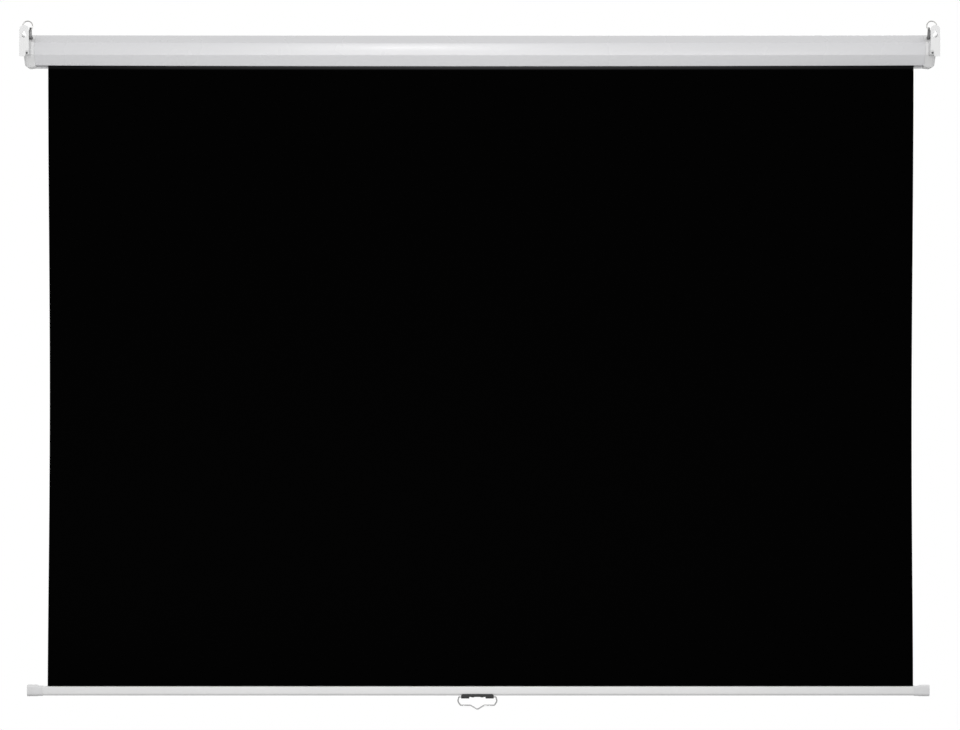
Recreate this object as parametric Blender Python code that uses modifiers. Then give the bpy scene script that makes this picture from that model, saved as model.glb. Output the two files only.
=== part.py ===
"""Pull-down projector screen, hung by its two wall brackets.

Metres. X runs along the housing, Y away from the wall, Z up. The origin is on the wall, midway
between the keyholes, at the height where the two wall screws sit in their slots.
"""
import math

import bmesh
import bpy
from mathutils import Matrix, Vector

# Fits
GAP = 0.0003                 # between pieces that touch
RUN_CLEAR = 0.0004           # round a pin that turns in its bore

# Housing, a folded sheet-steel case
WALL_GAP = 0.024             # wall to the back of the housing
HOUSING_DEPTH = 0.064
HOUSING_HEIGHT = 0.0629
HOUSING_TOP_RISE = 0.0004    # top of the housing above the keyhole slots
HOUSING_HALF = 0.878
HOUSING_WALL = 0.001
TOP_FACET_RUN = 0.027
TOP_FACET_RISE = 0.0176
LOW_FACET_RUN = 0.016
LOW_FACET_RISE = 0.0205
FOLD_RADIUS = 0.0012
MOUTH_WIDTH = 0.016
HEM_HEIGHT = 0.005

# End caps, moulded
CAP_LENGTH = 0.022
CAP_ROUND = 0.008
CAP_ROUND_STEPS = 7
CAP_LIP = 0.0022
CAP_LIP_SLOPE = 0.0135
SPIGOT_LENGTH = 0.012
SPIGOT_WALL = 0.002
SPIGOT_CUT = 0.012           # the spigot is open up to this height above the mouth
BOSS_STEP = 0.0004            # boss drawn in from the cap's faces
BOSS_DROP = 0.0021
SOCKET_RADIUS = 0.009
SOCKET_LENGTH = 0.012
PILLAR_RADIUS = 0.004
PILLAR_LENGTH = 0.009

# Wall brackets, bent steel
BRACKET_THICK = 0.0019
PLATE_WIDTH = 0.0186
PLATE_TOP = 0.0131
PLATE_LENGTH = 0.0609
PLATE_NOTCH_RISE = 0.0112     # lower inner corner cut out round the cap's screw
PLATE_NOTCH_RUN = 0.0068
PLATE_NOTCH_ROUND = 0.003
FLANGE_REACH = 0.052
FLANGE_TOP = -0.002
FLANGE_CORNER = 0.005
KEYHOLE_RADIUS = 0.0049
KEYHOLE_DROP = 0.0065
SLOT_RADIUS = 0.0025
SLOT_FACETS = 16
FLANGE_SCREW_IN = 0.009      # back of the cap to the first flange screw
FLANGE_SCREW_SPACING = 0.012
CAP_SCREW_IN = 0.0039        # from the plate's inner edge
CAP_SCREW_RISE = 0.0064      # above the plate's lower edge

# Hanging rings and their lugs
RING_RADIUS = 0.0097
RING_WIRE = 0.0011
RING_CENTRE_OUT = 0.0057     # ring centre outside the lug's middle plane
RING_PIVOT_Y = 0.022
RING_PIVOT_Z = 0.0064
LUG_THICK = 0.0028
LUG_IN = 0.0008               # lug's face inside the plate's inner edge
LUG_EYE_RADIUS = 0.0051
LUG_HOLE_RADIUS = 0.003
LUG_START = 0.0345            # the lug stands on the cap from here to its reach
LUG_REACH = 0.0397
LUG_NECK = (0.0305, -0.0052)  # rear corner between the foot and the eye's stem (Y, Z)
LUG_SHOULDER = -0.004
LUG_FOOT_WIDTH = 0.0048
LUG_FOOT_THICK = 0.0016
LUG_FOOT_IN = 0.0006
RING_FACETS = 32

# Screen cloth
CLOTH_SIDE_ROOM = 0.022      # cloth edge to the end of the housing
CLOTH_SHIFT = 0.0018         # the cloth sits a little to one side on its roller
CLOTH_THICK = 0.0005
CLOTH_CLEAR = 0.00175        # cloth to the mouth's rear hem
CLOTH_IN_BAR = 0.006
WRAP_TURNS = 2

# Roller with its spring
ROLLER_RADIUS = 0.0175
ROLLER_WALL = 0.001
ROLLER_END_ROOM = 0.013      # roller tube to the end of the housing
PLUG_LENGTH = 0.020
PLUG_FLANGE = 0.003
ARBOR_RADIUS = 0.004
ARBOR_TAIL = 0.020           # arbor past the spring's anchor
TANG_THICK = 0.004
TANG_HEIGHT = 0.0066
COLLAR_RADIUS = 0.011
COLLAR_LENGTH = 0.004
DISC_RADIUS = 0.008
DISC_LENGTH = 0.0036
NOTCH_DEPTH = 0.0022
DISC_TEETH = 4
TOOTH_STEPS = 7
PAWL_PIVOT = 0.0125          # roller axis to pawl pin
PAWL_EYE_RADIUS = 0.0029
PAWL_THICK = 0.003
PAWL_REACH = 0.0085
PAWL_DIP = 0.0038
PAWL_NOSE = 0.0009
SPRING_RADIUS = 0.0100
SPRING_WIRE = 0.0008
SPRING_TURNS = 16
SPRING_POINTS = 8
SPRING_LENGTH = 0.240
ANCHOR_LENGTH = 0.020
IDLE_PIN_RADIUS = 0.004
BUSH_WALL = 0.002

# Bottom bar
BAR_DROP = 1.2886            # keyhole slots to the top of the bar
BAR_HEIGHT = 0.0184
BAR_DEPTH = 0.012
BAR_WALL = 0.0012
BAR_TOP_CORNER = 0.0025
BAR_LOW_CORNER = 0.0055
BAR_SLOT = 0.0015
BAR_OVERHANG = 0.0135        # bar with its caps past the end of the housing
BAR_SHIFT = -0.0028          # the bar sits a little to one side in the hem
BAR_CAP_LENGTH = 0.030
BAR_CAP_BODY = 0.0185        # thick outer part of the cap
BAR_CAP_TAPER = 0.004
BAR_CAP_SLEEVE = 0.0008      # sleeve proud of the bar
BAR_CAP_RISE = 0.0028
BAR_CAP_DROP = 0.0014
BAR_CAP_PROUD = 0.0016
BAR_CAP_END = 0.003
HEM_ROD_RADIUS = 0.002
HEM_WALL = 0.0005

# Pull handle and its holder
HANDLE_SHIFT = -0.0045
HOLDER_HALF = 0.0322
HOLDER_WALL = 0.0016
HOLDER_COVER = 0.0038        # height of bar that the holder wraps
HOLDER_CHAMFER = 0.0028
FOOT_LENGTH = 0.0162
FOOT_DEPTH = 0.008
FOOT_DROP = 0.0036
FOOT_FLOOR = 0.0011          # foot under the handle's bore
HANDLE_WIRE = 0.0013
HANDLE_HALF = 0.0384
HANDLE_DROP = 0.0167
HANDLE_POINT = 0.0079
HANDLE_LEAN = 0.0019         # top corners inside the widest place
HANDLE_BULGE = 0.0005
HANDLE_TUCK = 0.0048         # lower corners inside the widest place
HANDLE_NOSE_HALF = 0.0133
HANDLE_TOP_BEND = 0.0022     # bends: at the feet, at the sides, below and at the nose
HANDLE_SIDE_BEND = 0.007
HANDLE_LOW_BEND = 0.004
HANDLE_NOSE_BEND = 0.003
NUB_SPACING = 0.0092

# Screws: shank radius, head radius, head height, length under the head
FLANGE_SCREW = (0.0015, 0.0032, 0.0018, 0.008)
CAP_SCREW = (0.0012, 0.0023, 0.0014, 0.010)
LUG_RIVET = (0.0011, 0.0022, 0.0009, 0.0036)
PAWL_PIN = (0.00125, 0.0022, 0.0008, 0.0083)
HOLDER_SCREW = (0.0014, 0.0036, 0.0016, 0.0042)

# Places worked out from the sizes above
TOP_Z = HOUSING_TOP_RISE
BOTTOM_Z = TOP_Z - HOUSING_HEIGHT
BACK_Y = WALL_GAP
FRONT_Y = BACK_Y + HOUSING_DEPTH
SHOULDER_Z = TOP_Z - TOP_FACET_RISE
WAIST_Z = BOTTOM_Z + LOW_FACET_RISE
MOUTH_REAR = BACK_Y + LOW_FACET_RUN
MOUTH_FRONT = MOUTH_REAR + MOUTH_WIDTH
CAP_WALL = HOUSING_WALL + GAP + SPIGOT_WALL
ROLLER_HALF = HOUSING_HALF - ROLLER_END_ROOM
CLOTH_WIDTH = 2 * (HOUSING_HALF - CLOTH_SIDE_ROOM)
CLOTH_LEFT = CLOTH_SHIFT - CLOTH_WIDTH / 2
BAR_HALF = HOUSING_HALF + BAR_OVERHANG
CAP_END = HOUSING_HALF + GAP + CAP_LENGTH
CLOTH_Y = MOUTH_REAR + CLOTH_CLEAR + CLOTH_THICK / 2
WRAP_RADIUS = ROLLER_RADIUS + GAP + WRAP_TURNS * CLOTH_THICK
AXIS_Y = CLOTH_Y + CLOTH_THICK / 2 + GAP + WRAP_RADIUS
AXIS_Z = (SHOULDER_Z + WAIST_Z) / 2
FLANGE_OUT = CAP_END + GAP + BRACKET_THICK
PLATE_IN = FLANGE_OUT - PLATE_WIDTH
PLATE_X = FLANGE_OUT - PLATE_WIDTH / 2
PLATE_BOTTOM = PLATE_TOP - PLATE_LENGTH
LUG_X = PLATE_IN - LUG_IN + LUG_THICK / 2
BAR_TOP = -BAR_DROP
BAR_BOTTOM = BAR_TOP - BAR_HEIGHT
BAR_Y = CLOTH_Y
HOLDER_BOTTOM = BAR_BOTTOM - GAP - HOLDER_WALL
HANDLE_PIVOT_Z = HOLDER_BOTTOM - FOOT_DROP + FOOT_FLOOR + GAP + HANDLE_WIRE
FLANGE_SCREW_Y = (BACK_Y + FLANGE_SCREW_IN, BACK_Y + FLANGE_SCREW_IN + FLANGE_SCREW_SPACING)
CAP_SCREW_X = PLATE_IN + CAP_SCREW_IN
CAP_SCREW_Z = PLATE_BOTTOM + CAP_SCREW_RISE
PLATE_BACK = BRACKET_THICK + GAP
CAP_FACE = CAP_END - CAP_WALL            # inner face of the cap's end wall
SOCKET_END = CAP_FACE - SOCKET_LENGTH
CHAMFER = Vector((TOP_FACET_RUN, TOP_FACET_RISE)).normalized()
CHAMFER_UP = Vector((-CHAMFER.y, CHAMFER.x))

# Colours: base colour, roughness, metallic
PAINT = ((0.78, 0.78, 0.80), 0.35, 0.0)
CAP_PLASTIC = ((0.76, 0.76, 0.77), 0.45, 0.0)
BAR_PAINT = ((0.80, 0.80, 0.80), 0.35, 0.0)
DARK_STEEL = ((0.10, 0.10, 0.10), 0.45, 0.8)
BRIGHT_STEEL = ((0.62, 0.62, 0.62), 0.25, 1.0)
BLACK_PLASTIC = ((0.035, 0.035, 0.035), 0.5, 0.0)
BLACK_CLOTH = ((0.004, 0.004, 0.004), 0.85, 0.0)
WHITE_PLASTIC = ((0.70, 0.70, 0.68), 0.5, 0.0)
BRASS = ((0.60, 0.45, 0.18), 0.35, 1.0)

for old in list(bpy.data.objects):
    bpy.data.objects.remove(old, do_unlink=True)

PARTS = bpy.data.collections.new("projector_screen")
CUTTERS = bpy.data.collections.new("cutters")
bpy.context.scene.collection.children.link(PARTS)
bpy.context.scene.collection.children.link(CUTTERS)


def material(name, finish):
    """A Principled material; one object's finish is (colour, roughness, metallic)."""
    colour, roughness, metallic = finish
    made = bpy.data.materials.new(name)
    made.use_nodes = True
    shader = made.node_tree.nodes["Principled BSDF"]
    shader.inputs["Base Color"].default_value = (*colour, 1.0)
    shader.inputs["Roughness"].default_value = roughness
    shader.inputs["Metallic"].default_value = metallic
    return made


def put(name, mesh, finish=None):
    """Links a mesh as a part, or as a cutter where it has no finish."""
    obj = bpy.data.objects.new(name, mesh)
    if finish is None:
        CUTTERS.objects.link(obj)
        obj.hide_render = True
        obj.display_type = "WIRE"
    else:
        PARTS.objects.link(obj)
        mesh.materials.append(material(name, finish))
    return obj


def inset(outline, distance):
    """A convex outline with each side moved inwards, its corners still sharp."""
    count = len(outline)
    area = sum(outline[i][0] * outline[(i + 1) % count][1]
               - outline[(i + 1) % count][0] * outline[i][1] for i in range(count))
    turn = 1.0 if area > 0 else -1.0
    moved = []
    for i in range(count):
        before = Vector(outline[i - 1])
        here = Vector(outline[i])
        after = Vector(outline[(i + 1) % count])
        into = (here - before).normalized()
        away = (after - here).normalized()
        left_in = Vector((-into.y, into.x)) * turn
        left_out = Vector((-away.y, away.x)) * turn
        bisector = (left_in + left_out).normalized()
        reach = distance / max(bisector.dot(left_in), 0.1)
        moved.append(tuple(here + bisector * reach))
    return moved


def rounded(points, radius, steps=2, closed=True):
    """The points with each corner replaced by an arc; the radius may be a list, one a corner."""
    count = len(points)
    radii = radius if isinstance(radius, list) else [radius] * count
    result = []
    for i in range(count):
        here = Vector(points[i])
        if not closed and i in (0, count - 1):
            result.append(tuple(here))
            continue
        back = (Vector(points[i - 1]) - here).normalized()
        ahead = (Vector(points[(i + 1) % count]) - here).normalized()
        half = back.angle(ahead) / 2
        tangent = radii[i] / math.tan(half)
        centre = here + (back + ahead).normalized() * (radii[i] / math.sin(half))
        first = here + back * tangent - centre
        last = here + ahead * tangent - centre
        sweep = first.angle_signed(last)
        for k in range(steps + 1):
            spun = Matrix.Rotation(-sweep * k / steps, 2) @ first
            result.append(tuple(centre + spun))
    return result


def arc(centre, radius, start, stop, steps):
    """Points on an arc, angles in degrees from the first axis."""
    points = []
    for k in range(steps + 1):
        angle = math.radians(start + (stop - start) * k / steps)
        points.append((centre[0] + radius * math.cos(angle), centre[1] + radius * math.sin(angle)))
    return points


def loft(name, rings, finish=None):
    """A closed solid through rings of as many points, its two ends closed by one face each."""
    bm = bmesh.new()
    loops = [[bm.verts.new(point) for point in ring] for ring in rings]
    count = len(loops[0])
    for low, high in zip(loops, loops[1:]):
        for i in range(count):
            j = (i + 1) % count
            bm.faces.new((low[i], low[j], high[j], high[i]))
    bm.faces.new(loops[0])
    bm.faces.new(loops[-1])
    bmesh.ops.recalc_face_normals(bm, faces=bm.faces)
    mesh = bpy.data.meshes.new(name)
    bm.to_mesh(mesh)
    bm.free()
    return put(name, mesh, finish)


def drawn(name, outlines, depth, closed=True):
    """A mesh of flat outlines, the first one pierced by the others, drawn out about its plane."""
    curve = bpy.data.curves.new(name, "CURVE")
    curve.dimensions = "2D"
    curve.fill_mode = "BOTH" if closed else "NONE"
    curve.extrude = depth / 2
    for outline in outlines:
        spline = curve.splines.new("POLY")
        spline.points.add(len(outline) - 1)
        for spot, (across, up) in zip(spline.points, outline):
            spot.co = (across, up, 0, 1)
        spline.use_cyclic_u = closed
    guide = bpy.data.objects.new(name, curve)
    bpy.context.scene.collection.objects.link(guide)
    graph = bpy.context.evaluated_depsgraph_get()
    mesh = bpy.data.meshes.new_from_object(guide.evaluated_get(graph))
    bpy.data.objects.remove(guide)
    bpy.data.curves.remove(curve)
    bm = bmesh.new()
    bm.from_mesh(mesh)
    bmesh.ops.remove_doubles(bm, verts=bm.verts, dist=1e-6)
    if closed:
        bmesh.ops.recalc_face_normals(bm, faces=bm.faces)
    bm.to_mesh(mesh)
    bm.free()
    return mesh


# Planes that outlines are drawn in: (Y, Z) drawn out along X, and (X, Z) drawn out along Y
ALONG_X = Matrix(((0, 0, 1), (1, 0, 0), (0, 1, 0)))
ALONG_Y = Matrix(((1, 0, 0), (0, 0, -1), (0, 1, 0)))


def prism(name, outlines, plane, start, stop, finish=None, closed=True):
    """Outlines drawn out from one place to another along the plane's own axis."""
    obj = put(name, drawn(name, outlines, abs(stop - start), closed), finish)
    middle = (start + stop) / 2
    axis = Vector((1, 0, 0)) if plane is ALONG_X else Vector((0, 1, 0))
    obj.matrix_world = Matrix.Translation(axis * middle) @ plane.to_4x4()
    return obj


def box(name, low, high, finish=None):
    """A box between two corners."""
    bm = bmesh.new()
    bmesh.ops.create_cube(bm, size=1.0)
    size = [b - a for a, b in zip(low, high)]
    bmesh.ops.scale(bm, vec=size, verts=bm.verts)
    mesh = bpy.data.meshes.new(name)
    bm.to_mesh(mesh)
    bm.free()
    obj = put(name, mesh, finish)
    obj.location = [(a + b) / 2 for a, b in zip(low, high)]
    return obj


def aim(obj, start, axis):
    """Stands an object made along +Z at a start point, along an axis."""
    turn = Vector((0, 0, 1)).rotation_difference(Vector(axis)).to_matrix().to_4x4()
    obj.matrix_world = Matrix.Translation(start) @ turn
    return obj


def turned(name, profile, start, axis, finish=None, steps=24):
    """A profile of (radius, distance along the axis), listed outwards and on, turned round."""
    mesh = bpy.data.meshes.new(name)
    points = [(radius, 0, along) for radius, along in reversed(profile)]
    edges = [(i, i + 1) for i in range(len(points) - 1)]
    if profile[0][0] > 0:
        edges.append((len(points) - 1, 0))
    mesh.from_pydata(points, edges, [])
    obj = put(name, mesh, finish)
    spin = obj.modifiers.new("turn", "SCREW")
    spin.axis = "Z"
    spin.steps = steps
    spin.render_steps = steps
    spin.use_merge_vertices = True
    spin.merge_threshold = 0.00001
    spin.use_smooth_shade = True
    return aim(obj, start, axis)


def rod(name, radius, start, axis, length, finish=None, steps=24):
    """A plain round bar from a start point along an axis."""
    bm = bmesh.new()
    bmesh.ops.create_cone(bm, cap_ends=True, segments=steps, radius1=radius, radius2=radius,
                          depth=length)
    bmesh.ops.translate(bm, vec=(0, 0, length / 2), verts=bm.verts)
    mesh = bpy.data.meshes.new(name)
    bm.to_mesh(mesh)
    bm.free()
    mesh.shade_smooth()
    mesh.set_sharp_from_angle(angle=math.radians(35))
    return aim(put(name, mesh, finish), start, axis)


def tube(name, outer, inner, start, axis, length, finish=None, steps=24):
    """A round bar with a bore."""
    profile = [(inner, 0), (outer, 0), (outer, length), (inner, length)]
    return turned(name, profile, start, axis, finish, steps)


def combine(obj, others, operation):
    """Joins or cuts the object with each of the others, which stay as hidden cutters."""
    for other in others:
        step = obj.modifiers.new(other.name, "BOOLEAN")
        step.operation = operation
        step.object = other
        step.solver = "EXACT"
    return obj


def cut(obj, others):
    return combine(obj, others, "DIFFERENCE")


def join(obj, others):
    return combine(obj, others, "UNION")


def wire(name, points, radius, finish, cyclic=False, resolution=2):
    """A round wire along the points."""
    curve = bpy.data.curves.new(name, "CURVE")
    curve.dimensions = "3D"
    curve.bevel_depth = radius
    curve.bevel_resolution = resolution
    curve.use_fill_caps = True
    spline = curve.splines.new("POLY")
    spline.points.add(len(points) - 1)
    for spot, point in zip(spline.points, points):
        spot.co = (*point, 1.0)
    spline.use_cyclic_u = cyclic
    curve.materials.append(material(name, finish))
    obj = bpy.data.objects.new(name, curve)
    PARTS.objects.link(obj)
    return obj


def screw(name, sizes, seat, direction, finish):
    """A pan-head screw: its head stands on the seat, its shank runs along the direction."""
    shank, head, height, length = sizes
    dome = [(head * math.cos(a), -height * math.sin(a))
            for a in (math.radians(d) for d in (0, 30, 60))]
    profile = [(0, -height)] + dome[::-1] + [(shank, 0), (shank, length), (0, length)]
    return turned(name, profile, seat, direction, finish, steps=16)


def screw_hole(name, sizes, seat, direction):
    """The clearance hole of a screw, deep enough for its shank and open at the seat."""
    shank, head, height, length = sizes
    start = Vector(seat) - Vector(direction) * (height + GAP)
    return rod(name, shank + GAP, start, direction, length + height + 3 * GAP, steps=16)


SIDES = (("left", -1), ("right", 1))


def section(extra=0.0):
    """The case outline in (Y, Z), closed at its foot, which reaches lower by the extra."""
    run = LOW_FACET_RUN * (LOW_FACET_RISE + extra) / LOW_FACET_RISE
    return [(BACK_Y, WAIST_Z), (BACK_Y + run, BOTTOM_Z - extra), (FRONT_Y - run, BOTTOM_Z - extra),
            (FRONT_Y, WAIST_Z), (FRONT_Y, SHOULDER_Z), (FRONT_Y - TOP_FACET_RUN, TOP_Z),
            (BACK_Y + TOP_FACET_RUN, TOP_Z), (BACK_Y, SHOULDER_Z)]


def folded(name, path, thickness, half, middle, finish):
    """Sheet folded along an open (Y, Z) path, its thickness on the inner side."""
    obj = prism(name, [path], ALONG_X, middle - half, middle + half, finish, closed=False)
    centre = sum((Vector(point) for point in path), Vector((0, 0))) / len(path)
    bm = bmesh.new()
    bm.from_mesh(obj.data)
    outward = sum((face.normal.xy.dot(face.calc_center_median().xy - centre) for face in bm.faces))
    if outward < 0:
        bmesh.ops.reverse_faces(bm, faces=bm.faces)
    bm.to_mesh(obj.data)
    bm.free()
    wall = obj.modifiers.new("wall", "SOLIDIFY")
    wall.thickness = thickness
    wall.offset = -1.0
    wall.use_even_offset = True
    return obj


# The housing: one steel sheet folded round the roller, hemmed at both edges of its mouth
housing_path = [(MOUTH_REAR, BOTTOM_Z + HEM_HEIGHT), (MOUTH_REAR, BOTTOM_Z), (BACK_Y, WAIST_Z),
                (BACK_Y, SHOULDER_Z), (BACK_Y + TOP_FACET_RUN, TOP_Z),
                (FRONT_Y - TOP_FACET_RUN, TOP_Z), (FRONT_Y, SHOULDER_Z), (FRONT_Y, WAIST_Z),
                (FRONT_Y - LOW_FACET_RUN, BOTTOM_Z), (MOUTH_FRONT, BOTTOM_Z),
                (MOUTH_FRONT, BOTTOM_Z + HEM_HEIGHT)]
folded("housing_shell", rounded(housing_path, FOLD_RADIUS, closed=False), HOUSING_WALL,
       HOUSING_HALF, 0.0, PAINT)


def cap_rings(side, inset_by, round_radius, start, lip):
    """Rings of a cap from its inner end to its rounded outer end, inset from the case outline."""
    stations = [(start, 0.0, GAP if lip else 0.0)]
    if lip:
        stations.append((start + CAP_LIP_SLOPE, 0.0, lip))
    for k in range(CAP_ROUND_STEPS + 1):
        angle = math.pi / 2 * k / CAP_ROUND_STEPS
        stations.append((CAP_END - CAP_ROUND + round_radius * math.sin(angle),
                         round_radius * (1 - math.cos(angle)), lip))
    rings = []
    for along, drawn_in, extra in stations:
        outline = rounded(inset(section(extra), inset_by + drawn_in), FOLD_RADIUS)
        rings.append([(side * along, y, z) for y, z in outline])
    return rings


def on_chamfer(y, lift=0.0):
    """A (Y, Z) point on the rear upper facet, lifted square to it."""
    z = SHOULDER_Z + (y - BACK_Y) * TOP_FACET_RISE / TOP_FACET_RUN
    return Vector((y, z)) + CHAMFER_UP * lift


FOOT_START = on_chamfer(LUG_START + LUG_FOOT_IN, GAP)
FOOT_END = on_chamfer(LUG_REACH, GAP)
RIVET_X = LUG_X + LUG_THICK / 2 + LUG_FOOT_WIDTH / 2
RIVET_SEAT = (FOOT_START + FOOT_END) / 2 + CHAMFER_UP * (LUG_FOOT_THICK + GAP)


def rivet_place(side):
    """Seat and direction of a lug's rivet."""
    return (side * RIVET_X, RIVET_SEAT.x, RIVET_SEAT.y), (0, -CHAMFER_UP.x, -CHAMFER_UP.y)


def end_cap(label, side, pocket):
    """A cap: rounded outer shell, spigot into the housing, rear boss, roller socket, pillars."""
    name = "end_cap_" + label
    start = HOUSING_HALF + GAP
    cap = loft(name, cap_rings(side, 0.0, CAP_ROUND, start, CAP_LIP), CAP_PLASTIC)
    spigot_outline = rounded(inset(section(), HOUSING_WALL + GAP), FOLD_RADIUS)
    spigot_end = HOUSING_HALF - SPIGOT_LENGTH
    spigot = loft(name + "_spigot", [[(side * x, y, z) for y, z in spigot_outline]
                                     for x in (spigot_end, start + CAP_WALL)])
    below = box(name + "_spigot_cut",
                (min(side * (spigot_end - CAP_WALL), side * start), BACK_Y, BOTTOM_Z - CAP_WALL),
                (max(side * (spigot_end - CAP_WALL), side * start), FRONT_Y,
                 BOTTOM_Z + SPIGOT_CUT))
    cut(spigot, [below])
    boss = box(name + "_boss",
               (min(side * PLATE_IN, side * (CAP_END - BOSS_STEP)), PLATE_BACK,
                WAIST_Z - BOSS_DROP),
               (max(side * PLATE_IN, side * (CAP_END - BOSS_STEP)), BACK_Y + CAP_ROUND,
                SHOULDER_Z - BOSS_STEP))
    join(cap, [spigot, boss])
    bore_rings = cap_rings(side, CAP_WALL, CAP_ROUND - CAP_WALL, spigot_end - CAP_WALL, 0.0)
    cut(cap, [loft(name + "_bore", bore_rings)])
    inward = (-side, 0, 0)
    root = side * (CAP_FACE + CAP_WALL / 3)
    bosses = [rod(name + "_socket", SOCKET_RADIUS, (root, AXIS_Y, AXIS_Z), inward,
                  SOCKET_LENGTH + CAP_WALL / 3)]
    holes = [pocket]
    for k, y in enumerate(FLANGE_SCREW_Y):
        bosses.append(rod(name + "_pillar_" + str(k), PILLAR_RADIUS, (root, y, AXIS_Z), inward,
                          PILLAR_LENGTH, steps=16))
        holes.append(screw_hole(name + "_flange_hole_" + str(k), FLANGE_SCREW,
                                (side * (FLANGE_OUT + GAP), y, AXIS_Z), inward))
    holes.append(screw_hole(name + "_rear_hole", CAP_SCREW,
                            (side * CAP_SCREW_X, PLATE_BACK - GAP, CAP_SCREW_Z), (0, 1, 0)))
    seat, direction = rivet_place(side)
    holes.append(screw_hole(name + "_rivet_hole", LUG_RIVET, seat, direction))
    join(cap, bosses)
    cut(cap, holes)
    return cap


# The caps: the left one holds the spring arbor's flat tang, the right one the idle bush
TANG_END = CAP_FACE - GAP
tang_pocket = box("tang_pocket",
                  (-CAP_FACE, AXIS_Y - TANG_THICK / 2 - GAP, AXIS_Z - TANG_HEIGHT / 2 - GAP),
                  (-SOCKET_END + CAP_WALL, AXIS_Y + TANG_THICK / 2 + GAP,
                   AXIS_Z + TANG_HEIGHT / 2 + GAP))
BUSH_RADIUS = IDLE_PIN_RADIUS + RUN_CLEAR + BUSH_WALL
bush_pocket = rod("bush_pocket", BUSH_RADIUS + GAP, (SOCKET_END - CAP_WALL, AXIS_Y, AXIS_Z),
                  (1, 0, 0), SOCKET_LENGTH + CAP_WALL)
end_cap("left", -1, tang_pocket)
end_cap("right", 1, bush_pocket)


def keyhole(centre):
    """A round hole with a narrower slot above it, whose round end is at height zero."""
    open_angle = math.degrees(math.asin(SLOT_RADIUS / KEYHOLE_RADIUS))
    hole = arc((centre, -KEYHOLE_DROP), KEYHOLE_RADIUS, 90 + open_angle, 450 - open_angle,
               SLOT_FACETS)
    return hole + arc((centre, 0.0), SLOT_RADIUS, 0, 180, SLOT_FACETS // 2)


def wall_bracket(label, side):
    """A wall plate with a keyhole and a side flange turned along the cap's end."""
    name = "wall_bracket_" + label
    notch = (PLATE_IN + PLATE_NOTCH_RUN, PLATE_BOTTOM + PLATE_NOTCH_RISE)
    plate_outline = [(PLATE_IN, notch[1])]
    plate_outline += arc((notch[0] - PLATE_NOTCH_ROUND, notch[1] - PLATE_NOTCH_ROUND),
                         PLATE_NOTCH_ROUND, 90, 0, 4)
    plate_outline += [(notch[0], PLATE_BOTTOM), (FLANGE_OUT, PLATE_BOTTOM)]
    plate_outline += arc((PLATE_X, PLATE_TOP - PLATE_WIDTH / 2), PLATE_WIDTH / 2, 0, 180, 12)
    outlines = [[(side * x, z) for x, z in points] for points in (plate_outline, keyhole(PLATE_X))]
    bracket = prism(name, outlines, ALONG_Y, 0.0, BRACKET_THICK, PAINT)
    corner = FLANGE_CORNER
    flange_outline = [(BRACKET_THICK / 3, WAIST_Z), (FLANGE_REACH - corner, WAIST_Z),
                      (FLANGE_REACH, WAIST_Z + corner), (FLANGE_REACH, FLANGE_TOP - corner),
                      (FLANGE_REACH - corner, FLANGE_TOP), (BRACKET_THICK / 3, FLANGE_TOP)]
    join(bracket, [prism(name + "_flange", [flange_outline], ALONG_X,
                         side * (FLANGE_OUT - BRACKET_THICK), side * FLANGE_OUT)])
    cut(bracket, [screw_hole(name + "_hole_" + str(k), FLANGE_SCREW,
                             (side * (FLANGE_OUT + GAP), y, AXIS_Z), (-side, 0, 0))
                  for k, y in enumerate(FLANGE_SCREW_Y)])


def ring_lug(label, side):
    """A dark steel lug: an eye for the ring, standing beside the cap, and a riveted foot."""
    name = "ring_lug_" + label
    eye = (RING_PIVOT_Y, RING_PIVOT_Z)
    start = on_chamfer(LUG_START, GAP)
    rise = CHAMFER_UP * LUG_FOOT_THICK
    outline = [(PLATE_BACK, start.y), tuple(start), tuple(FOOT_END), tuple(FOOT_END + rise),
               LUG_NECK]
    outline += arc(eye, LUG_EYE_RADIUS, 0, 180, 12)
    outline += [(PLATE_BACK, LUG_SHOULDER)]
    hole = arc(eye, LUG_HOLE_RADIUS, 0, 360, 16)[:-1]
    lug = prism(name, [outline, hole], ALONG_X, side * (LUG_X - LUG_THICK / 2),
                side * (LUG_X + LUG_THICK / 2), DARK_STEEL)
    foot_outline = [tuple(FOOT_START), tuple(FOOT_END), tuple(FOOT_END + rise),
                    tuple(FOOT_START + rise)]
    join(lug, [prism(name + "_foot", [foot_outline], ALONG_X, side * LUG_X,
                     side * (LUG_X + LUG_THICK / 2 + LUG_FOOT_WIDTH))])
    seat, direction = rivet_place(side)
    cut(lug, [screw_hole(name + "_hole", LUG_RIVET, seat, direction)])


def hanging_ring(label, side):
    """A wire ring through the lug's eye, standing up; its empty is on the axis it swings on."""
    lift = math.sqrt(RING_RADIUS ** 2 - RING_CENTRE_OUT ** 2)
    pivot = bpy.data.objects.new("ring_axis_" + label, None)
    bpy.context.scene.collection.objects.link(pivot)
    pivot.location = (side * LUG_X, RING_PIVOT_Y, RING_PIVOT_Z)
    points = [(x, 0, z) for x, z in arc((side * RING_CENTRE_OUT, lift), RING_RADIUS, 0, 360,
                                        RING_FACETS)[:-1]]
    ring = wire("hanging_ring_" + label, points, RING_WIRE, BRIGHT_STEEL, cyclic=True)
    ring.parent = pivot


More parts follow.
